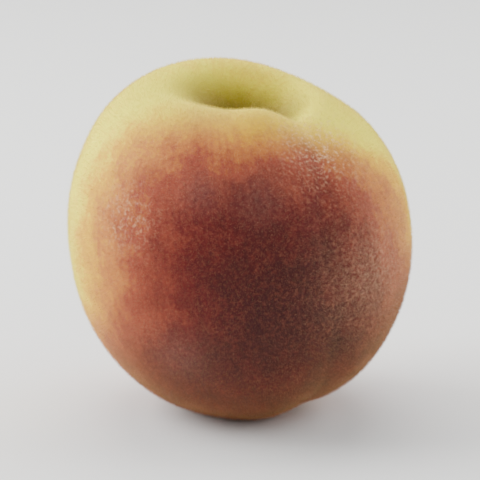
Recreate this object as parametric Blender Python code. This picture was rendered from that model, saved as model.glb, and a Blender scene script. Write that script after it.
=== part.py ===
"""A ripe peach standing on its blossom end, with the dry stub of its stalk in the stem cavity.

Metres, +Z up. The front of the fruit looks along -Y and its right side along +X. The origin lies on the
surface that the fruit rests on, under the middle of its outline. The fruit is grown about an axis of its
own, from the stem cavity at the top to the blossom tip, and this axis leans when the fruit stands.
"""

import math

import bmesh
import bpy
from mathutils import Matrix, Vector

# Driving dimensions, in metres.
WIDTH = 0.0740              # from cheek to cheek, along X
DEPTH = 0.0720              # from front to back, along Y
HEIGHT = 0.0754             # from the resting spot to the highest shoulder
RESTING_FLAT = 0.0008       # how deep the resting spot is pressed flat

# The outline about the fruit's own axis: two half superellipses that meet at the girth.
GIRTH_RADIUS = 0.0366
TOP_RISE = 0.0362           # from the girth to the top, before the cavity sinks
BASE_DROP = 0.0388          # from the girth down to the blossom end, before its dimple
SHOULDER_POWER = 2.15       # 2 is an ellipse, and more is fuller
BASE_POWER = 2.07

# The stem cavity is a wide bowl with a narrow throat below it, where the stalk has its flat-bottomed seat.
BOWL_DEPTH, BOWL_REACH, BOWL_POWER = 0.0090, 0.0112, 3      # a power above 2 makes the wall steeper
THROAT_DEPTH, THROAT_REACH = 0.0050, 0.0046
SOCKET_RADIUS = 0.0024
SOCKET_DEPTH = 0.0008
CAVITY_WIDER, CAVITY_NARROWER = 0.30, 0.05      # shares added from side to side, taken off front to back
CAVITY_SHIFT = 0.0048                           # how far it sits to the right of the fruit's axis
SHIFT_INNER, SHIFT_OUTER = 0.0100, 0.0280       # the radii between which the shift dies away

# The blossom end has a shallow dimple with a small tip in it.
DIMPLE_DEPTH, DIMPLE_REACH = 0.0016, 0.0042
TIP_HEIGHT, TIP_REACH = 0.0006, 0.0011

# The suture is a soft valley down one side, which swings towards the right as it enters the cavity.
SUTURE_AZIMUTH = math.radians(32)       # at the girth, from the front towards the right
SUTURE_SWING = math.radians(24.5)
SWING_START, SWING_END = 0.010, 0.036   # the heights between which it swings
SUTURE_REACH, NARROWING = 0.0066, 0.0060        # half its width, which narrows towards both ends
SUTURE_DEPTH = 0.0006
NOTCH_DEPTH, NOTCH_REACH = 0.0010, 0.0070       # deeper where it crosses the cavity's lip
TAIL_DEPTH, TAIL_RADIUS, TAIL_REACH = 0.0002, 0.0100, 0.0080    # and deeper again near the tip
LIP_RADIUS = 0.0135

# The halves of the fruit swell on either side of the suture, most of all at the cavity's lip.
LOBE_ANGLE, LOBE_SPREAD = 0.62, 0.42    # radians away from the suture
LOBE_HEIGHT, LIP_LOBE_HEIGHT = 0.0004, 0.0016

# One shoulder is higher than the one opposite it.
HIGH_SHOULDER = 0.0047
HIGH_AZIMUTH = math.radians(-108)
HIGH_RADIUS = 0.0154

# How the fruit's axis leans when it stands on its resting spot.
LEAN_FORWARD = math.radians(5.0)
LEAN_LEFT = math.radians(9.0)

# The stub of the stalk, a short woody ring.
STALK_RADIUS = 0.0021
STALK_HEIGHT = 0.0030
STALK_CORE_RADIUS = 0.0008
STALK_CORE_DEPTH = 0.0010
STALK_EDGE = 0.00025
CLEARANCE = 0.0003          # between the stalk and its seat

# How finely the surfaces are divided.
RINGS = 48
SEGMENTS = 72
STALK_SEGMENTS = 24
POLE_CROWDING = 0.10        # draws the rings closer together at both ends
BLEND_HEIGHT = 0.018        # over which the top's and the base's own features fade in
SAME_POINT = 1e-6


def ease(low, high, value):
    """0 up to low, 1 from high on, and a smooth step between them."""
    share = min(max((value - low) / (high - low), 0.0), 1.0)
    return share * share * (3.0 - 2.0 * share)


def swell(distance, reach, power=2):
    """A soft round swelling: 1 in the middle, a third at one reach, nothing far away."""
    return math.exp(-abs(distance / reach) ** power)


def outline_point(turn):
    """Radius and height of the outline, at an angle from the stem end (0) to the blossom end (pi)."""
    if turn < math.pi / 2:
        power, reach = SHOULDER_POWER, TOP_RISE
    else:
        power, reach = BASE_POWER, BASE_DROP
    radius = GIRTH_RADIUS * math.sin(turn) ** (2 / power)
    height = math.copysign(reach * abs(math.cos(turn)) ** (2 / power), math.cos(turn))
    dimple = DIMPLE_DEPTH * swell(radius, DIMPLE_REACH) - TIP_HEIGHT * swell(radius, TIP_REACH)
    height += ease(0, BLEND_HEIGHT, -height) * dimple
    return radius, height


def crowded_turn(share):
    """The outline's angle at a share of its rings from 0 to 1, with more rings near the two ends."""
    return math.pi * (share - POLE_CROWDING * math.sin(2 * math.pi * share))


def dome_height(radius):
    """Height of the plain outline's top, above the girth, at a radius."""
    return outline_point(math.asin((radius / GIRTH_RADIUS) ** (SHOULDER_POWER / 2)))[1]


def outline():
    """The fruit's outline without its cavity, from the middle of the stalk's seat to the blossom tip."""
    rim = dome_height(SOCKET_RADIUS)
    seat = [(0, rim - SOCKET_DEPTH), (SOCKET_RADIUS, rim - SOCKET_DEPTH), (SOCKET_RADIUS, rim)]
    turns = [crowded_turn(ring / RINGS) for ring in range(1, RINGS)]
    sides = [outline_point(turn) for turn in turns]
    sides = [(radius, height) for radius, height in sides if radius > 1.15 * SOCKET_RADIUS or height < 0]
    tip = (0, outline_point(math.pi)[1])
    return seat + sides + [tip]


def clear_of_seat(radius):
    """0 in and around the stalk's round seat, 1 well away from it."""
    return ease(1.2 * SOCKET_RADIUS, 3.5 * SOCKET_RADIUS, radius)


def cavity_depth(radius, azimuth):
    """How far the stem cavity sinks at a place, measured from the middle of the stalk's seat."""
    radius = max(radius, SOCKET_RADIUS)
    oval = clear_of_seat(radius)
    across = radius * math.sin(azimuth) / (1 + oval * CAVITY_WIDER)
    along = radius * math.cos(azimuth) / (1 - oval * CAVITY_NARROWER)
    distance = math.hypot(across, along)
    bowl = BOWL_DEPTH * swell(distance, BOWL_REACH, BOWL_POWER)
    return bowl + THROAT_DEPTH * swell(distance, THROAT_REACH)


def turned_solid(points, segments):
    """A bmesh of the outline, given as radius and height, turned once round Z."""
    bm = bmesh.new()
    verts = [bm.verts.new((radius, 0, height)) for radius, height in points]
    edges = [bm.edges.new(pair) for pair in zip(verts, verts[1:])]
    bmesh.ops.spin(bm, geom=verts + edges, axis=(0, 0, 1), cent=(0, 0, 0),
                   angle=2 * math.pi, steps=segments, use_merge=True)
    bmesh.ops.remove_doubles(bm, verts=bm.verts, dist=SAME_POINT)
    bmesh.ops.recalc_face_normals(bm, faces=bm.faces)
    return bm


def suture_move(radius, height, azimuth):
    """How far the surface stands out (or sinks in, below 0) for the suture and the two halves beside it."""
    top, base = ease(0, BLEND_HEIGHT, height), ease(0, BLEND_HEIGHT, -height)
    at_lip = top * swell(radius - LIP_RADIUS, NOTCH_REACH)
    near_tip = base * swell(radius - TAIL_RADIUS, TAIL_REACH)
    off_suture = azimuth - SUTURE_AZIMUTH - SUTURE_SWING * ease(SWING_START, SWING_END, height)
    angle = abs(math.remainder(off_suture, 2 * math.pi))
    move = (LOBE_HEIGHT + LIP_LOBE_HEIGHT * at_lip) * swell(angle - LOBE_ANGLE, LOBE_SPREAD)
    if angle < math.pi / 2:
        depth = SUTURE_DEPTH + NOTCH_DEPTH * at_lip + TAIL_DEPTH * near_tip
        move -= depth * swell((radius + NARROWING) * math.sin(angle), SUTURE_REACH)
    return move


def grown(point):
    """Where a point of the turned outline lies on the fruit as it grew."""
    radius = math.hypot(point.x, point.y)
    azimuth = math.atan2(point.x, -point.y)
    top = ease(0, BLEND_HEIGHT, point.z)
    moved = point + point.normalized() * clear_of_seat(radius) * suture_move(radius, point.z, azimuth)
    share = radius / HIGH_RADIUS
    lift = HIGH_SHOULDER * share * math.exp((1 - share * share) / 2) * math.cos(azimuth - HIGH_AZIMUTH)
    moved.z += top * (clear_of_seat(radius) * lift - cavity_depth(radius, azimuth))
    moved.x += top * CAVITY_SHIFT * (1 - ease(SHIFT_INNER, SHIFT_OUTER, radius))
    return moved


def extent(points, axis):
    """The lowest and highest coordinate of the points along an axis."""
    values = [point[axis] for point in points]
    return min(values), max(values)


def standing_matrix(bm):
    """Leans the fruit, sizes it exactly, and puts its resting spot at height 0 under its middle."""
    lean = Matrix.Rotation(-LEAN_LEFT, 4, "Y") @ Matrix.Rotation(LEAN_FORWARD, 4, "X")
    leaned = [lean @ vert.co for vert in bm.verts]
    left, right = extent(leaned, 0)
    front, back = extent(leaned, 1)
    bottom, top = extent(leaned, 2)
    bottom += RESTING_FLAT
    scale = Matrix.Diagonal((WIDTH / (right - left), DEPTH / (back - front), HEIGHT / (top - bottom), 1))
    middle = Vector(((left + right) / 2, (front + back) / 2, bottom))
    return scale @ Matrix.Translation(-middle) @ lean


def press_flat(bm):
    """Cuts the fruit off level at height 0 and closes the cut with one flat face."""
    everything = bm.verts[:] + bm.edges[:] + bm.faces[:]
    cut = bmesh.ops.bisect_plane(bm, geom=everything, dist=SAME_POINT, plane_co=(0, 0, 0),
                                 plane_no=(0, 0, 1), clear_inner=True)
    rim = [item for item in cut["geom_cut"] if isinstance(item, bmesh.types.BMEdge)]
    bmesh.ops.edgeloop_fill(bm, edges=rim)
    bmesh.ops.recalc_face_normals(bm, faces=bm.faces)


def plain_material(name, color, roughness):
    """A Principled material of one colour."""
    material = bpy.data.materials.new(name)
    material.use_nodes = True
    shader = material.node_tree.nodes["Principled BSDF"]
    shader.inputs["Base Color"].default_value = (*color, 1)
    shader.inputs["Roughness"].default_value = roughness
    shader.inputs["Metallic"].default_value = 0
    return material


def new_object(name, bm, material, sharp_angle):
    """Turns a bmesh into a smooth-shaded object of the scene."""
    mesh = bpy.data.meshes.new(name)
    bm.to_mesh(mesh)
    bm.free()
    mesh.shade_smooth()
    mesh.set_sharp_from_angle(angle=sharp_angle)
    mesh.materials.append(material)
    item = bpy.data.objects.new(name, mesh)
    bpy.context.scene.collection.objects.link(item)
    return item


def build_peach():
    """The fruit, one solid of flesh and skin. Returns the matrix that stands it up as well."""
    bm = turned_solid(outline(), SEGMENTS)
    bmesh.ops.rotate(bm, verts=bm.verts, cent=(0, 0, 0), matrix=Matrix.Rotation(SUTURE_AZIMUTH, 3, "Z"))
    for vert in bm.verts:
        vert.co = grown(vert.co)
    standing = standing_matrix(bm)
    bmesh.ops.transform(bm, matrix=standing, verts=bm.verts)
    press_flat(bm)
    skin = plain_material("downy_skin", (0.62, 0.22, 0.10), 0.85)
    new_object("peach", bm, skin, math.radians(60))
    return standing


def build_stalk_stub(standing):
    """The dry end of the stalk, hollow at its core, seated on the floor of the cavity."""
    top, edge, core = STALK_HEIGHT, STALK_EDGE, STALK_CORE_RADIUS
    section = [(0, 0), (STALK_RADIUS - edge, 0), (STALK_RADIUS, edge), (STALK_RADIUS, top - edge),
               (STALK_RADIUS - edge, top), (core + edge, top), (core, top - edge),
               (core, top - STALK_CORE_DEPTH), (0, top - STALK_CORE_DEPTH)]
    bark = plain_material("woody_stalk", (0.10, 0.07, 0.05), 0.9)
    stub = new_object("stalk_stub", turned_solid(section, STALK_SEGMENTS), bark, math.radians(40))
    floor = dome_height(SOCKET_RADIUS) - cavity_depth(SOCKET_RADIUS, 0) - SOCKET_DEPTH
    seat = Vector((CAVITY_SHIFT, 0, floor + CLEARANCE))
    stub.location = standing @ seat
    stub.rotation_euler = standing.to_quaternion().to_euler()
    return stub


def clear_scene():
    """Removes whatever the scene holds."""
    for item in list(bpy.data.objects):
        bpy.data.objects.remove(item, do_unlink=True)


clear_scene()
build_stalk_stub(build_peach())
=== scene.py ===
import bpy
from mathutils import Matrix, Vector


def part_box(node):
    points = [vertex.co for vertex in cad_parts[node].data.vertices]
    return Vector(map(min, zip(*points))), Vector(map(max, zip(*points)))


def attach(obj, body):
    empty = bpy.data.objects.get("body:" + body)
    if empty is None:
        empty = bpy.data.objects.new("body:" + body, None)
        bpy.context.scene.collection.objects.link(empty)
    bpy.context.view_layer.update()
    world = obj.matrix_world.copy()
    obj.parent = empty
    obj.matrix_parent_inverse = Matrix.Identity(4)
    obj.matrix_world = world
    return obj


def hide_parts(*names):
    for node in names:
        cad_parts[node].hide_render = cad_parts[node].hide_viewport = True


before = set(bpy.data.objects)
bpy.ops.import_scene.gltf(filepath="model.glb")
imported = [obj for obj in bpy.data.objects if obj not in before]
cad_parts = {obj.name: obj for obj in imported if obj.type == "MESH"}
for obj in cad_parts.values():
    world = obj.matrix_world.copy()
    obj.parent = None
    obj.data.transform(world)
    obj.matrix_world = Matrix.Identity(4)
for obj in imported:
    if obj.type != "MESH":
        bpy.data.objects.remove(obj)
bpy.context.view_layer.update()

# A ripe peach on its blossom end: its downy skin, the down itself and the dry stub of the stalk.
# Metres, +Z up. The front of the fruit looks along -Y and its right side along +X. The shape is first
# worked out in the fruit's own frame, about the axis from the stalk to the blossom tip, then stood up.
import math

import bmesh
import bpy
import numpy as np
from mathutils import Matrix, Vector, noise

# ---------------------------------------------------------------- dimensions, as the CAD part has them
RESTING_FLAT = 0.0008
GIRTH_RADIUS = 0.0366
TOP_RISE, SHOULDER_POWER = 0.0362, 2.15
BASE_DROP, BASE_POWER = 0.0388, 2.07
BOWL_DEPTH, BOWL_REACH, BOWL_POWER = 0.0090, 0.0112, 3
THROAT_DEPTH, THROAT_REACH = 0.0050, 0.0046
SOCKET_RADIUS, SOCKET_DEPTH = 0.0024, 0.0008
CAVITY_WIDER, CAVITY_NARROWER = 0.30, 0.05
CAVITY_SHIFT, SHIFT_INNER, SHIFT_OUTER = 0.0048, 0.0100, 0.0280
DIMPLE_DEPTH, DIMPLE_REACH = 0.0016, 0.0042
TIP_HEIGHT, TIP_REACH = 0.0006, 0.0011
SUTURE_AZIMUTH, SUTURE_SWING = math.radians(32), math.radians(24.5)
SWING_START, SWING_END = 0.010, 0.036
SUTURE_REACH, NARROWING, SUTURE_DEPTH = 0.0066, 0.0060, 0.0006
NOTCH_DEPTH, NOTCH_REACH, LIP_RADIUS = 0.0010, 0.0070, 0.0135
TAIL_DEPTH, TAIL_RADIUS, TAIL_REACH = 0.0002, 0.0100, 0.0080
LOBE_ANGLE, LOBE_SPREAD = 0.62, 0.42
LOBE_HEIGHT, LIP_LOBE_HEIGHT = 0.0004, 0.0016
HIGH_SHOULDER, HIGH_AZIMUTH, HIGH_RADIUS = 0.0047, math.radians(-108), 0.0154
LEAN_FORWARD, LEAN_LEFT = math.radians(5.0), math.radians(9.0)
STALK_RADIUS, STALK_HEIGHT = 0.0021, 0.0030
STALK_CORE_RADIUS, STALK_CORE_DEPTH = 0.0008, 0.0010
CLEARANCE = 0.0003
BLEND_HEIGHT = 0.018

# ---------------------------------------------------------------- finer relief, which the CAD part leaves out
RINGS, SEGMENTS = 230, 400
POLE_CROWDING = 0.10
SUTURE_CROWDING = 0.35              # draws the segments closer together at the suture
CREASE_DEPTH, CREASE_REACH = 0.00006, 0.0016
SWELLING, SWELLING_SIZE = 0.00022, 0.015        # slow unevenness of the flesh
DIMPLING, DIMPLING_SIZE = 0.00003, 0.0028       # small unevenness of the skin
PUCKERS, PUCKER_HEIGHT = 13, 0.00010            # folds that run out of the stalk's seat
PUCKER_RADIUS, PUCKER_REACH = 0.0048, 0.0024

# ---------------------------------------------------------------- the down
HAIR_SETS = 5
HAIRS = 49000                       # in each set
HAIR_LENGTH, HAIR_THICKNESS = (0.00035, 0.00075), (0.000013, 0.000020)
HAIR_TILT = 0.27                    # spread of the hairs' lean, for a hair 1 long
FLATTEST_HAIR = 0.3                 # the least a hair stands up from the skin
SET_SHADE = 0.12                    # how much darker each set of hairs is than the one before
HAIR_GAMMA, STRAW_SHARE = 0.6, 0.18             # how pale a hair is beside the skin under it
BARE_HEIGHT = 0.0007                # no hair on the resting spot
SEAT_BARE_RADIUS = 0.0034           # nor under and close around the stalk

# ---------------------------------------------------------------- the stub's rough cork
STUB_EDGE, STUB_SEGMENTS = 0.00025, 72
FINE_CORK, FINE_CORK_SIZE = 0.00008, 0.0007
COARSE_CORK, COARSE_CORK_SIZE = 0.00010, 0.0020

lowest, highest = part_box("peach")
lowest, highest = Vector(lowest), Vector(highest)


# ---------------------------------------------------------------- the fruit's shape
def ease(low, high, value):
    """0 up to low, 1 from high on, and a smooth step between them."""
    share = np.clip((value - low) / (high - low), 0.0, 1.0)
    return share * share * (3.0 - 2.0 * share)


def swell(distance, reach, power=2):
    """A soft round swelling: 1 in the middle, a third at one reach, nothing far away."""
    return np.exp(-np.abs(distance / reach) ** power)


def outline_point(turn):
    """Radius and height of the outline, at an angle from the stem end (0) to the blossom end (pi)."""
    if turn < math.pi / 2:
        power, reach = SHOULDER_POWER, TOP_RISE
    else:
        power, reach = BASE_POWER, BASE_DROP
    radius = GIRTH_RADIUS * math.sin(turn) ** (2 / power)
    height = math.copysign(reach * abs(math.cos(turn)) ** (2 / power), math.cos(turn))
    dimple = DIMPLE_DEPTH * swell(radius, DIMPLE_REACH) - TIP_HEIGHT * swell(radius, TIP_REACH)
    return radius, height + ease(0, BLEND_HEIGHT, -height) * dimple


def crowded_turn(share):
    """The outline's angle at a share of its rings from 0 to 1, with more rings near the two ends."""
    return math.pi * (share - POLE_CROWDING * math.sin(2 * math.pi * share))


def dome_height(radius):
    """Height of the plain outline's top, above the girth, at a radius."""
    return outline_point(math.asin((radius / GIRTH_RADIUS) ** (SHOULDER_POWER / 2)))[1]


def outline():
    """The fruit's outline without its cavity, from the middle of the stalk's seat to the blossom tip."""
    rim = dome_height(SOCKET_RADIUS)
    seat = [(0, rim - SOCKET_DEPTH), (SOCKET_RADIUS, rim - SOCKET_DEPTH), (SOCKET_RADIUS, rim)]
    turns = [crowded_turn(ring / RINGS) for ring in range(1, RINGS)]
    sides = [outline_point(turn) for turn in turns]
    sides = [(radius, height) for radius, height in sides if radius > 1.06 * SOCKET_RADIUS or height < 0]
    tip = (0, outline_point(math.pi)[1])
    return seat + sides + [tip]


def clear_of_seat(radius):
    """0 in and around the stalk's round seat, 1 well away from it."""
    return ease(1.2 * SOCKET_RADIUS, 3.5 * SOCKET_RADIUS, radius)


def cavity_depth(radius, azimuth):
    """How far the stem cavity sinks at a place, measured from the middle of the stalk's seat."""
    radius = np.maximum(radius, SOCKET_RADIUS)
    oval = clear_of_seat(radius)
    across = radius * np.sin(azimuth) / (1 + oval * CAVITY_WIDER)
    along = radius * np.cos(azimuth) / (1 - oval * CAVITY_NARROWER)
    distance = np.hypot(across, along)
    bowl = BOWL_DEPTH * swell(distance, BOWL_REACH, BOWL_POWER)
    return bowl + THROAT_DEPTH * swell(distance, THROAT_REACH)


def angle_off_suture(height, azimuth):
    """The angle from the suture, which swings towards the right as it nears the cavity."""
    off = azimuth - SUTURE_AZIMUTH - SUTURE_SWING * ease(SWING_START, SWING_END, height)
    return np.abs(np.remainder(off + math.pi, 2 * math.pi) - math.pi)


def suture_move(radius, height, azimuth):
    """How far the surface stands out (or sinks in, below 0) for the suture and the two halves beside it."""
    top, base = ease(0, BLEND_HEIGHT, height), ease(0, BLEND_HEIGHT, -height)
    at_lip = top * swell(radius - LIP_RADIUS, NOTCH_REACH)
    near_tip = base * swell(radius - TAIL_RADIUS, TAIL_REACH)
    angle = angle_off_suture(height, azimuth)
    lobes = (LOBE_HEIGHT + LIP_LOBE_HEIGHT * at_lip) * swell(angle - LOBE_ANGLE, LOBE_SPREAD)
    depth = SUTURE_DEPTH + NOTCH_DEPTH * at_lip + TAIL_DEPTH * near_tip
    valley = depth * swell((radius + NARROWING) * np.sin(angle), SUTURE_REACH)
    crease = CREASE_DEPTH * swell(radius * np.sin(angle), CREASE_REACH)
    return lobes - np.where(angle < math.pi / 2, valley + crease, 0)


def unevenness(points, size, seed):
    """A smooth random number from about -1 to 1 for each point, in lumps of that size."""
    offset = Vector((seed, 0, 0))
    return np.array([noise.noise(Vector(point) / size + offset) for point in points])


def puckers(radius, azimuth):
    """Soft folds that run up the cavity's wall from the stalk."""
    folds = np.sin(PUCKERS * azimuth + 1.3 * np.sin(2 * azimuth)) + 0.6 * np.sin(7 * azimuth + 2)
    return PUCKER_HEIGHT * folds * swell(radius - PUCKER_RADIUS, PUCKER_REACH)


def grown(points):
    """Where points of the turned outline lie on the fruit as it grew."""
    radius = np.hypot(points[:, 0], points[:, 1])
    azimuth = np.arctan2(points[:, 0], -points[:, 1])
    height = points[:, 2]
    top = ease(0, BLEND_HEIGHT, height)
    clear = clear_of_seat(radius)
    relief = SWELLING * unevenness(points, SWELLING_SIZE, 4) + DIMPLING * unevenness(points, DIMPLING_SIZE, 9)
    away = clear * (suture_move(radius, height, azimuth) + relief)
    moved = points + points / np.linalg.norm(points, axis=1)[:, None] * away[:, None]
    share = radius / HIGH_RADIUS
    lift = HIGH_SHOULDER * share * np.exp((1 - share * share) / 2) * np.cos(azimuth - HIGH_AZIMUTH)
    folds = puckers(radius, azimuth) * ease(SOCKET_RADIUS, 1.5 * SOCKET_RADIUS, radius)
    moved[:, 2] += top * (clear * lift - cavity_depth(radius, azimuth) + folds)
    moved[:, 0] += top * CAVITY_SHIFT * (1 - ease(SHIFT_INNER, SHIFT_OUTER, radius))
    return moved


def turned_solid(points, segments):
    """A bmesh of the outline, given as radius and height, turned once round Z."""
    bm = bmesh.new()
    verts = [bm.verts.new((radius, 0, height)) for radius, height in points]
    edges = [bm.edges.new(pair) for pair in zip(verts, verts[1:])]
    bmesh.ops.spin(bm, geom=verts + edges, axis=(0, 0, 1), cent=(0, 0, 0),
                   angle=2 * math.pi, steps=segments, use_merge=True)
    bmesh.ops.remove_doubles(bm, verts=bm.verts, dist=1e-7)
    bmesh.ops.recalc_face_normals(bm, faces=bm.faces)
    return bm


def crowd_to_suture(points):
    """Turns points about the axis so that the segments lie closer together at the suture."""
    azimuth = np.arctan2(points[:, 0], -points[:, 1])
    azimuth -= SUTURE_CROWDING * np.sin(azimuth - SUTURE_AZIMUTH)
    radius = np.hypot(points[:, 0], points[:, 1])
    return np.column_stack((radius * np.sin(azimuth), -radius * np.cos(azimuth), points[:, 2]))


def standing_matrix(points):
    """Leans the fruit, and sizes and places it so that it fills the CAD peach's box."""
    lean = Matrix.Rotation(-LEAN_LEFT, 4, "Y") @ Matrix.Rotation(LEAN_FORWARD, 4, "X")
    leaned = points @ np.array(lean.to_3x3()).T
    low, high = Vector(leaned.min(axis=0)), Vector(leaned.max(axis=0))
    low.z += RESTING_FLAT
    sizes = [(highest[axis] - lowest[axis]) / (high[axis] - low[axis]) for axis in range(3)]
    return Matrix.Translation(lowest) @ Matrix.Diagonal((*sizes, 1)) @ Matrix.Translation(-low) @ lean


def press_flat(bm):
    """Cuts the fruit off level at height 0 and closes the cut with one flat face."""
    everything = bm.verts[:] + bm.edges[:] + bm.faces[:]
    cut = bmesh.ops.bisect_plane(bm, geom=everything, dist=1e-6, plane_co=(0, 0, 0),
                                 plane_no=(0, 0, 1), clear_inner=True)
    rim = [item for item in cut["geom_cut"] if isinstance(item, bmesh.types.BMEdge)]
    bmesh.ops.edgeloop_fill(bm, edges=rim)
    bmesh.ops.recalc_face_normals(bm, faces=bm.faces)


def vertex_array(mesh, name="co"):
    """A mesh's vertex places, or normals, as an array of rows."""
    values = np.empty(len(mesh.vertices) * 3, np.float32)
    mesh.vertices.foreach_get(name, values)
    return values.reshape(-1, 3).astype(float)


def new_piece(name, mesh, material):
    """An object of the scene from a mesh, with one material, riding on the fruit."""
    mesh.materials.clear()
    mesh.materials.append(material)
    piece = bpy.data.objects.new(name, mesh)
    bpy.context.scene.collection.objects.link(piece)
    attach(piece, "root")
    return piece


def surface_triangles(mesh):
    """The places of the corners of a mesh's triangles, in an order that is the same in every run."""
    triangles = []
    for face in mesh.polygons:
        corners = list(face.vertices)
        first = corners.index(min(corners))
        corners = corners[first:] + corners[:first]
        triangles += [(corners[0], *pair) for pair in zip(corners[1:], corners[2:])]
    return vertex_array(mesh)[np.array(sorted(triangles))]


def skin_mesh():
    """The fruit's finely divided surface, its triangles before it is pressed flat, and the matrix that
    stands it up."""
    bm = turned_solid(outline(), SEGMENTS)
    mesh = bpy.data.meshes.new("peach_skin")
    bm.to_mesh(mesh)
    bm.free()
    points = grown(crowd_to_suture(vertex_array(mesh)))
    standing = standing_matrix(points)
    mesh.vertices.foreach_set("co", points.astype(np.float32).ravel())
    mesh.transform(standing)
    surface = surface_triangles(mesh)
    bm = bmesh.new()
    bm.from_mesh(mesh)
    press_flat(bm)
    bm.to_mesh(mesh)
    bm.free()
    mesh.shade_smooth()
    mesh.set_sharp_from_angle(angle=math.radians(60))
    return mesh, surface, standing


# ---------------------------------------------------------------- material nodes
class Field:
    """A socket of a material's nodes. Sums on it add Math nodes, so a pattern reads as a formula."""

    def __init__(self, tree, socket=None):
        self.tree = tree
        self.socket = socket

    def node(self, kind, inputs, output=0, stops=(), **settings):
        """Adds a node: its settings first, then the values or links of its sockets. Gives one output."""
        node = self.tree.nodes.new("ShaderNode" + kind)
        for name, value in settings.items():
            setattr(node, name, value)
        for place, (position, value) in enumerate(stops):
            elements = node.color_ramp.elements
            stop = elements[place] if place < 2 else elements.new(position)
            stop.position, stop.color = position, (*value, 1)
        for name, value in inputs.items():
            if isinstance(value, Field):
                self.tree.links.new(value.socket, node.inputs[name])
            else:
                node.inputs[name].default_value = value
        return Field(self.tree, node.outputs[output])

    def math(self, operation, *values):
        return self.node("Math", dict(enumerate(values)), operation=operation)

    def __add__(self, other):
        return self.math("ADD", self, other)

    def __sub__(self, other):
        return self.math("SUBTRACT", self, other)

    def __rsub__(self, other):
        return self.math("SUBTRACT", other, self)

    def __mul__(self, other):
        return self.math("MULTIPLY", self, other)

    def __truediv__(self, other):
        return self.math("DIVIDE", self, other)

    def __rtruediv__(self, other):
        return self.math("DIVIDE", other, self)

    def __pow__(self, other):
        return self.math("POWER", self, other)

    __radd__ = __add__
    __rmul__ = __mul__

    def root(self):
        return self.math("SQRT", self)

    def step(self, low, high):
        """0 up to low, 1 from high on, and a smooth step between them. Low above high turns it round."""
        inputs = {"Value": self, "From Min": low, "From Max": high}
        return self.node("MapRange", inputs, interpolation_type="SMOOTHSTEP")

    def hypot(self, other):
        """The length of a line that goes this far one way and other far across it."""
        return (self * self + other * other).root()

    def bell(self, reach):
        """1 where the value is 0, and nothing some reaches away from it."""
        return self.math("EXPONENT", (self / reach) ** 2 * -1)

    def tint(self, below, above):
        """Blends two colours: below where the value is 0, above where it is 1."""
        return self.node("Mix", {0: self, 6: below, 7: above}, output=2, data_type="RGBA")


def srgb(red, green, blue):
    """A colour given from 0 to 255, as a screen shows it."""
    return tuple((value / 255 / 12.92) if value < 11 else ((value / 255 + 0.055) / 1.055) ** 2.4
                 for value in (red, green, blue))


def rgba(color):
    """A colour as a socket takes it."""
    return (*color, 1)


def noise_field(place, size, seed=0.0, detail=2.0, roughness=0.5, distortion=0.0):
    """Random lumps of a size, from about -1 to 1."""
    inputs = {"Vector": place, "Scale": 1 / size, "Detail": detail, "Roughness": roughness,
              "Distortion": distortion, "W": seed}
    return (place.node("TexNoise", inputs, noise_dimensions="4D") - 0.5) * 2.4


def new_material(name):
    """A material, its Principled shader, and a field to start its nodes from."""
    material = bpy.data.materials.new(name)
    material.use_nodes = True
    return material, material.node_tree.nodes["Principled BSDF"], Field(material.node_tree)


def connect(shader, name, field):
    """Feeds a field into a socket of the shader."""
    field.tree.links.new(field.socket, shader.inputs[name])


def set_values(shader, values):
    """Sets sockets of the shader to constants."""
    for name, value in values.items():
        shader.inputs[name].default_value = value


def fruit_frame(start, standing):
    """Object coordinates turned back into the fruit's own frame."""
    back = standing.inverted()
    turn = {"Vector": start.node("TexCoord", {}, output=3), "Location": back.translation,
            "Rotation": back.to_euler(), "Scale": back.to_scale()}
    return start.node("Mapping", turn, vector_type="POINT")


def split(place):
    """The three coordinates of a place."""
    return [place.node("SeparateXYZ", {0: place}, output=axis) for axis in range(3)]


def joined(x, y, z):
    """A vector of three fields."""
    return x.node("CombineXYZ", {0: x, 1: y, 2: z})


def turned_azimuth(x, y, centre):
    """The azimuth of a place, measured from a centre, with its seam on the far side of the fruit."""
    sine = x * math.cos(centre) + y * math.sin(centre)
    cosine = x * math.sin(centre) - y * math.cos(centre)
    return x.math("ARCTAN2", sine, cosine)


# ---------------------------------------------------------------- the skin's colours
GROUND = srgb(241, 230, 54)        # where the sun never reached
GOLD = srgb(220, 167, 34)
ORANGE = srgb(188, 118, 54)
RED = srgb(146, 66, 47)
MAROON = srgb(96, 22, 24)
PLUM = srgb(56, 12, 18)
# Down in the stem cavity: greenish olive, darkened partly as painted shade in the hollow.
CAVITY_OLIVE_AND_SHADE = srgb(124, 108, 30)
PALE_GREEN = srgb(217, 207, 48)
BLOOM = srgb(140, 104, 94)
ROSE = srgb(192, 108, 80)
# The next colour is for painted highlights: glints and sheen on the down.
PAINTED_HIGHLIGHT_WHITE = srgb(240, 206, 164)
SCAR = srgb(92, 58, 34)
STRAW = srgb(252, 230, 140)
SHEEN = srgb(255, 234, 130)
# The third colour is painted shade, near black, for the stub's hollow core.
CORK_DARK, CORK_PALE, HOLLOW_PAINTED_SHADE = srgb(78, 56, 38), srgb(150, 124, 92), srgb(34, 24, 18)
FRONT_BLUSH = {"azimuth": 11, "left": 55, "right": 54, "latitude": -6, "up": 61, "down": 92}
BACK_BLUSH = {"azimuth": -145, "left": 75, "right": 48, "latitude": 4, "up": 48, "down": 60}
BACK_PALER = 0.62                   # the back's blush is only the outer part of one
BLUSH_SQUARENESS = 2.6
BLUSH_SPREAD = 1.8                  # how much wider it is a radian below its middle
BLUSH_EDGE = 1.75                   # where it has faded away, for a reach of 1
TONGUE_PALER, SHOULDER_PALER = 0.32, 0.42       # how far they hold the front's blush back
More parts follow.
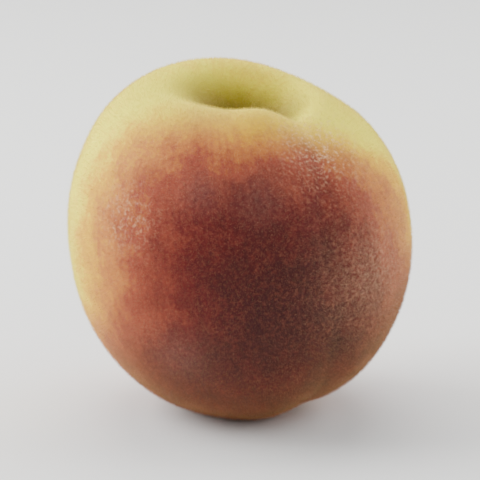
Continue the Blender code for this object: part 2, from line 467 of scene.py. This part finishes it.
# The third number draws painted shade along the suture's crease.
BACK_FLUSH, RED_LICKS, SUTURE_PAINTED_SHADE = 0.30, 0.22, 0.05
TIP_DEPTH = 0.36                    # how red it is all round the blossom tip
LUMP_SIZE, PATCH_SIZE, BLOOM_SIZE = 0.016, 0.0055, 0.010
MOTTLE_SIZE, GRAIN_SIZE, PORE_SIZE = 0.0010, 0.0008, 0.0006
STREAK_WIDTH, STREAK_LENGTH = 0.0016, 0.010
# The first is the width of the painted shade along the suture.
SUTURE_SHADE_WIDTH, SCAR_RADIUS = 0.0012, 0.0018
OLIVE_NARROWER, OLIVE_SHALLOWER = 0.74, 1.15    # the cavity's colours reach further to the sides
PALE_END, PALE_START = 0.027, 0.013             # distances from the stalk's seat
# How far from the stalk's seat the cavity's olive and painted shade ends, and where it is full.
OLIVE_END, OLIVE_START = 0.0125, 0.005

# Round places on the skin: azimuth and latitude in degrees, and reach in radians.
GOLD_TONGUE = (23, 56, 0.22)        # where the ground colour runs down from the cavity's notch
# Painted highlights: two spots of pale glints on the down, and a painted sheen over the right cheek.
RIGHT_PAINTED_GLINTS, LEFT_PAINTED_GLINTS = (50, 42, 0.24), (-41, 27, 0.18)
RIGHT_PAINTED_SHEEN = (49, -5, 0.32)
GREY_BLOOM = [(12, 31, 0.16), (-26, -20, 0.18), (-10, 36, 0.13)]


def blush_distance(x, y, latitude, blush):
    """Squarish distance from the middle of a blush, which reaches further to some sides, in degrees."""
    azimuth, left, right, middle, up, down = [math.radians(value) for value in blush.values()]
    above = latitude - middle
    off = turned_azimuth(x, y, azimuth) / (1 - above.math("MINIMUM", above, 0.0) * BLUSH_SPREAD)
    across = off.math("MAXIMUM", off / right, off / -left) ** BLUSH_SQUARENESS
    along = off.math("MAXIMUM", above / up, above / -down) ** BLUSH_SQUARENESS
    return (across + along) ** (1 / BLUSH_SQUARENESS)


def around_spot(x, y, latitude, spot):
    """1 in the middle of a round spot, nothing some reaches away. The reach is in radians."""
    azimuth, middle, reach = spot
    across = turned_azimuth(x, y, math.radians(azimuth)) * math.cos(math.radians(middle))
    along = latitude - math.radians(middle)
    return across.hypot(along).bell(reach)


def off_suture(x, y, radius, height):
    """How far a place lies to the side of the suture, and 1 on the suture's half of the fruit."""
    angle = turned_azimuth(x, y, SUTURE_AZIMUTH) - height.step(SWING_START, SWING_END) * SUTURE_SWING
    return angle.math("SINE", angle) * radius, angle.math("COSINE", angle).step(0.0, 0.2)


def skin_color(place, mottle):
    """The skin's colour at a place in the fruit's own frame."""
    x, y, height = split(place)
    radius = x.hypot(y) + 1e-5
    latitude = radius.math("ARCTAN2", height, radius)
    turns = 1 / STREAK_WIDTH * GIRTH_RADIUS
    around = joined(x / radius * turns, y / radius * turns, height / STREAK_LENGTH)
    lumps = noise_field(place, LUMP_SIZE, seed=2)
    patches = noise_field(place, PATCH_SIZE, seed=5, detail=3)
    streaks = noise_field(around, 1.0, seed=3, detail=2, distortion=0.4)

    # How deep the blush is: 0 on the ground colour, 1 in the plum heart of it.
    beside, front = off_suture(x, y, radius, height)
    tongue = around_spot(x, y, latitude, GOLD_TONGUE)
    right_shoulder = turned_azimuth(x, y, SUTURE_AZIMUTH).step(0.1, 0.8) * latitude.step(0.15, 0.7)
    wobble = lumps * 0.13 + patches * 0.20 + streaks * 0.10 + mottle * 0.16
    front_reach = blush_distance(x, y, latitude, FRONT_BLUSH) + wobble
    front_reach = front_reach + tongue * TONGUE_PALER + right_shoulder * SHOULDER_PALER
    back_reach = blush_distance(x, y, latitude, BACK_BLUSH) + wobble * 2 + BACK_PALER
    depth = x.math("MAXIMUM", front_reach.step(BLUSH_EDGE, 0.0), back_reach.step(BLUSH_EDGE, 0.0))
    behind = y.step(-0.006, 0.012) * latitude.step(1.45, 1.2)
    flush = (lumps * 0.5 + patches * 0.4 + mottle * 0.5 + streaks * 0.6 + 0.5).step(0.0, 1.6) * behind
    licks = (streaks - 0.2).step(0.0, 0.7) * depth.step(0.02, 0.2) * depth.step(0.75, 0.35)
    # Painted shade: a thin, darker and redder line along the suture's crease.
    line = beside.bell(SUTURE_SHADE_WIDTH) * front
    depth = depth + flush * BACK_FLUSH + licks * RED_LICKS + line * SUTURE_PAINTED_SHADE
    at_tip = latitude.step(-0.95, -1.40)
    depth = depth + (lumps * 0.15 + patches * 0.15 + TIP_DEPTH - depth) * at_tip

    stops = [(0, GROUND), (0.12, GOLD), (0.28, ORANGE), (0.48, RED), (0.74, MAROON), (1, PLUM)]
    color = depth.node("ValToRGB", {"Fac": depth}, stops=stops)

    # Greener and paler about the cavity; down inside it a darker olive, partly the skin's own colour and
    # partly painted shade in the hollow.
    from_seat = ((x - CAVITY_SHIFT) * OLIVE_NARROWER).hypot(y * OLIVE_SHALLOWER)
    on_top = height.step(0.010, 0.020)
    color = (from_seat.step(PALE_END, PALE_START) * on_top * 0.7).tint(color, rgba(PALE_GREEN))
    olive_and_shade = (from_seat + patches * 0.0008).step(OLIVE_END, OLIVE_START) * on_top
    color = olive_and_shade.tint(color, rgba(CAVITY_OLIVE_AND_SHADE))

    # Grey bloom and fine rosy grain over the blush, and painted highlights: pale glints on the down in two
    # spots and a painted sheen over the right cheek.
    grain = noise_field(place, GRAIN_SIZE, seed=14, detail=2, roughness=0.7)
    bloom = noise_field(place, BLOOM_SIZE, seed=11, detail=3).step(0.3, 1.0) * 0.5
    for spot in GREY_BLOOM:
        bloom = bloom + around_spot(x, y, latitude, spot)
    reddened = depth.step(0.25, 0.6)
    color = (bloom * reddened * (grain * 0.8 + 0.8) * 0.25).tint(color, rgba(BLOOM))
    rosy = grain.step(-0.25, 0.75) * (reddened * 0.11 + 0.08 + patches * 0.16)
    color = rosy.tint(color, rgba(ROSE))
    # Painted highlights: glints in two spots and a sheen on the right cheek, drawn as pale grains.
    right_glints = around_spot(x, y, latitude, RIGHT_PAINTED_GLINTS) * 0.66
    left_glints = around_spot(x, y, latitude, LEFT_PAINTED_GLINTS) * 0.38
    painted_glints = grain.step(-0.05, 0.5) * (right_glints + left_glints)
    painted_sheen = grain.step(-0.7, 0.9) * around_spot(x, y, latitude, RIGHT_PAINTED_SHEEN) * 0.28
    color = (painted_glints + painted_sheen).tint(color, rgba(PAINTED_HIGHLIGHT_WHITE))
    tip = radius.step(SCAR_RADIUS, SCAR_RADIUS / 2) * height.step(0.0, -0.02)
    return tip.tint(color, rgba(SCAR))


def fine_mottle(place):
    """Mottling that the skin and its down share."""
    return noise_field(place, MOTTLE_SIZE, seed=8, detail=2, roughness=0.6)


def skin_material(standing):
    """Downy skin: its colours, a soft sheen and a fine grain."""
    material, shader, start = new_material("downy_skin")
    place = fruit_frame(start, standing)
    mottle = fine_mottle(place)
    connect(shader, "Base Color", skin_color(place, mottle))
    connect(shader, "Roughness", mottle * 0.05 + 0.68)
    pores = noise_field(place, PORE_SIZE, seed=21, detail=3)
    bump = {"Strength": 0.5, "Distance": 0.00006, "Height": pores + mottle}
    connect(shader, "Normal", start.node("Bump", bump))
    set_values(shader, {"Specular IOR Level": 0.2, "Sheen Weight": 0.30, "Sheen Roughness": 0.4,
                        "Sheen Tint": rgba(SHEEN), "Subsurface Weight": 0.10,
                        "Subsurface Radius": (1.0, 0.40, 0.18), "Subsurface Scale": 0.002})
    return material


def down_material(standing, shade):
    """Fine straw-coloured hair, which lets the skin's colour through."""
    material, shader, start = new_material("down")
    place = fruit_frame(start, standing)
    skin = skin_color(place, fine_mottle(place))
    through = start.node("Gamma", {"Color": skin, "Gamma": HAIR_GAMMA})
    straw = rgba([value * shade for value in STRAW])
    color = start.node("Mix", {0: STRAW_SHARE, 6: through, 7: straw}, 2, data_type="RGBA")
    connect(shader, "Base Color", color)
    set_values(shader, {"Roughness": 0.7, "Specular IOR Level": 0.2})
    return material


def stalk_material(centre):
    """Dry grey-brown cork, with painted shade darkening its hollow core."""
    material, shader, start = new_material("woody_stalk")
    place = start.node("TexCoord", {}, output=3)
    offset = place.node("VectorMath", {0: place, 1: centre}, operation="SUBTRACT")
    from_axis = offset.node("VectorMath", {0: offset}, output=1, operation="LENGTH")
    fibres = noise_field(place, 0.00035, seed=41, detail=4)
    color = (fibres * 0.5 + 0.5).tint(rgba(CORK_DARK), rgba(CORK_PALE))
    # Painted shade: near black in the stub's hollow core.
    color = from_axis.step(0.0011, 0.0007).tint(color, rgba(HOLLOW_PAINTED_SHADE))
    connect(shader, "Base Color", color)
    bump = {"Strength": 0.8, "Distance": 0.0001, "Height": fibres}
    connect(shader, "Normal", start.node("Bump", bump))
    set_values(shader, {"Roughness": 0.9, "Specular IOR Level": 0.2})
    return material


# ---------------------------------------------------------------- pieces
def build_skin():
    mesh, surface, standing = skin_mesh()
    skin = new_piece("peach_skin", mesh, skin_material(standing))
    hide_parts("peach")
    return surface, standing


def hair_roots(surface, count, random):
    """Random places all over a surface of triangles, evenly by area, and the outward way at each."""
    ways = np.cross(surface[:, 1] - surface[:, 0], surface[:, 2] - surface[:, 0])
    areas = np.linalg.norm(ways, axis=1)
    chosen = random.choice(len(surface), count, p=areas / areas.sum())
    weights = random.dirichlet((1, 1, 1), count)[:, :, None]
    roots = (surface[chosen] * weights).sum(axis=1)
    return roots, ways[chosen] / areas[chosen, None]


def spike():
    """One hair: a closed three-sided spike, 1 thick and 1 long, standing on the origin."""
    bm = bmesh.new()
    bmesh.ops.create_cone(bm, cap_ends=True, segments=3, radius1=1, radius2=0, depth=1)
    bmesh.ops.translate(bm, vec=(0, 0, 0.5), verts=bm.verts)
    bmesh.ops.remove_doubles(bm, verts=bm.verts, dist=1e-4)
    bmesh.ops.recalc_face_normals(bm, faces=bm.faces)
    corners = np.array([vert.co[:] for vert in bm.verts])
    faces = np.array([[vert.index for vert in face.verts] for face in bm.faces])
    bm.free()
    return corners, faces


def hair_mesh(name, surface, stub_place, seed):
    """A set of hairs as one mesh, each standing on the skin with a tilt of its own."""
    random = np.random.default_rng(seed)
    roots, ways = hair_roots(surface, HAIRS, random)
    tilted = ways + random.normal(0, HAIR_TILT, ways.shape)
    tilted /= np.linalg.norm(tilted, axis=1)[:, None]
    lengths = random.uniform(*HAIR_LENGTH, HAIRS)
    thick = random.uniform(*HAIR_THICKNESS, HAIRS)
    tips = roots + tilted * lengths[:, None]
    away = np.linalg.norm(roots - np.array(stub_place), axis=1)
    keep = (roots[:, 2] > BARE_HEIGHT) & (tips[:, 2] > BARE_HEIGHT / 2) & (away > SEAT_BARE_RADIUS)
    keep &= (tilted * ways).sum(axis=1) > FLATTEST_HAIR
    roots, tilted, lengths, thick = roots[keep], tilted[keep], lengths[keep], thick[keep]

    side = np.cross(tilted, random.normal(0, 1, tilted.shape))
    side /= np.linalg.norm(side, axis=1)[:, None]
    other = np.cross(tilted, side)
    corners, faces = spike()
    across, along, up = (corners[None, :, axis, None] for axis in range(3))
    width = (side[:, None] * across + other[:, None] * along) * thick[:, None, None]
    points = roots[:, None] + width + tilted[:, None] * up * lengths[:, None, None]
    starts = np.arange(len(roots)) * len(corners)
    mesh = bpy.data.meshes.new(name)
    mesh.from_pydata(points.reshape(-1, 3), [], (starts[:, None, None] + faces[None]).reshape(-1, 3))
    own_bake_map(mesh, len(roots), len(faces))
    return mesh


def own_bake_map(mesh, hairs, faces):
    """Gives every hair a square of its own in the bake's map, shared out among its faces."""
    grid = math.ceil(math.sqrt(hairs))
    cell = np.repeat(np.arange(hairs), faces)
    quarter = np.tile(np.arange(faces), hairs)
    left = cell % grid + (quarter % 2) * 0.5
    low = cell // grid + (quarter // 2) * 0.5
    margin, width = 0.03, 0.47
    corner = np.array([(margin, margin), (width, margin), (margin, width)])
    places = np.stack((left, low), axis=-1)[:, None] + corner[None]
    layer = mesh.uv_layers.new(name="OFBake")
    layer.data.foreach_set("uv", (places / grid).astype(np.float32).ravel())


def build_down(surface, standing, stub_place):
    for number in range(HAIR_SETS):
        name = f"down_{number + 1}"
        mesh = hair_mesh(name, surface, stub_place, seed=100 + number)
        down = new_piece(name, mesh, down_material(standing, 1 - SET_SHADE * number))


def build_stub(standing):
    """The dry end of the stalk: a ragged ring with a hollow core, in its seat."""
    top, core, edge = STALK_HEIGHT, STALK_CORE_RADIUS, STUB_EDGE
    section = [(0, 0), (STALK_RADIUS - edge, 0), (STALK_RADIUS, edge), (STALK_RADIUS, top - edge),
               (STALK_RADIUS - edge, top), (core + edge, top), (core, top - edge),
               (core, top - STALK_CORE_DEPTH), (0, top - STALK_CORE_DEPTH)]
    bm = turned_solid(section, STUB_SEGMENTS)
    for vert in bm.verts:
        rough = noise.noise_vector(vert.co / FINE_CORK_SIZE) * FINE_CORK
        rough += noise.noise_vector(vert.co / COARSE_CORK_SIZE) * COARSE_CORK
        vert.co += rough * (0.4 + 0.8 * vert.co.z / top)
    floor = dome_height(SOCKET_RADIUS) - float(cavity_depth(SOCKET_RADIUS, 0)) - SOCKET_DEPTH
    place = standing @ Vector((CAVITY_SHIFT, 0, floor + CLEARANCE))
    upright = standing.to_quaternion().to_matrix().to_4x4()
    bmesh.ops.transform(bm, matrix=Matrix.Translation(place) @ upright, verts=bm.verts)
    mesh = bpy.data.meshes.new("stalk_stub_end")
    bm.to_mesh(mesh)
    bm.free()
    mesh.shade_smooth()
    mesh.set_sharp_from_angle(angle=math.radians(40))
    hollow = place + upright.to_3x3() @ Vector((0, 0, top))
    stub = new_piece("stalk_stub_end", mesh, stalk_material(hollow))
    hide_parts("stalk_stub")
    return place


# ---------------------------------------------------------------- studio
ELEVATION = math.radians(16)
CAMERA_DISTANCE = 0.70
FRAME_WIDTH = 0.104                 # what the picture spans at the fruit
FLOOR_RADIUS, SWEEP, WALL_TOP = 1.6, 1.2, 3.0


def build_floor():
    """A round floor whose rim sweeps up all around, so that no horizon shows."""
    sweep = [(FLOOR_RADIUS + SWEEP * math.sin(turn), SWEEP * (1 - math.cos(turn)))
             for turn in np.linspace(0, math.pi / 2, 17)]
    bm = turned_solid([(0, 0)] + sweep + [(FLOOR_RADIUS + SWEEP, WALL_TOP)], 96)
    mesh = bpy.data.meshes.new("floor")
    bm.to_mesh(mesh)
    bm.free()
    mesh.shade_smooth()
    material, shader, _ = new_material("floor")
    set_values(shader, {"Base Color": rgba(srgb(228, 228, 226)), "Roughness": 0.7})
    mesh.materials.append(material)
    floor = bpy.data.objects.new("floor", mesh)
    bpy.context.scene.collection.objects.link(floor)


def aim(item, place, target):
    """Puts a camera or lamp at a place, looking at a target."""
    item.location = place
    item.rotation_euler = (target - place).to_track_quat("-Z", "Y").to_euler()
    bpy.context.scene.collection.objects.link(item)


def build_lamp(name, azimuth, elevation, distance, size, power):
    """A square soft lamp that looks at the fruit. The angles are in degrees."""
    lamp = bpy.data.lights.new(name, "AREA")
    lamp.size, lamp.energy = size, power
    target = (lowest + highest) / 2
    around, up = math.radians(azimuth), math.radians(elevation)
    way = Vector((math.sin(around) * math.cos(up), -math.cos(around) * math.cos(up), math.sin(up)))
    aim(bpy.data.objects.new(name, lamp), target + way * distance, target)


def build_lights():
    world = bpy.data.worlds.new("studio")
    world.use_nodes = True
    background = world.node_tree.nodes["Background"]
    set_values(background, {"Color": rgba(srgb(236, 238, 240)), "Strength": 0.6})
    bpy.context.scene.world = world
    build_lamp("left_panel", -100, 30, distance=0.7, size=0.6, power=12)
    build_lamp("right_panel", 105, 25, distance=0.7, size=0.6, power=5)
    build_lamp("top_panel", 180, 65, distance=0.8, size=0.7, power=6.5)
    build_lamp("front_fill", 20, 35, distance=1.2, size=0.8, power=3)


def build_camera():
    camera = bpy.data.cameras.new("camera")
    camera.lens = camera.sensor_width * CAMERA_DISTANCE / FRAME_WIDTH
    target = (lowest + highest) / 2
    place = target + Vector((0, -math.cos(ELEVATION), math.sin(ELEVATION))) * CAMERA_DISTANCE
    item = bpy.data.objects.new("camera", camera)
    aim(item, place, target)
    bpy.context.scene.camera = item


surface, standing = build_skin()
stub_place = build_stub(standing)
build_down(surface, standing, stub_place)
build_floor()
build_lights()
build_camera()
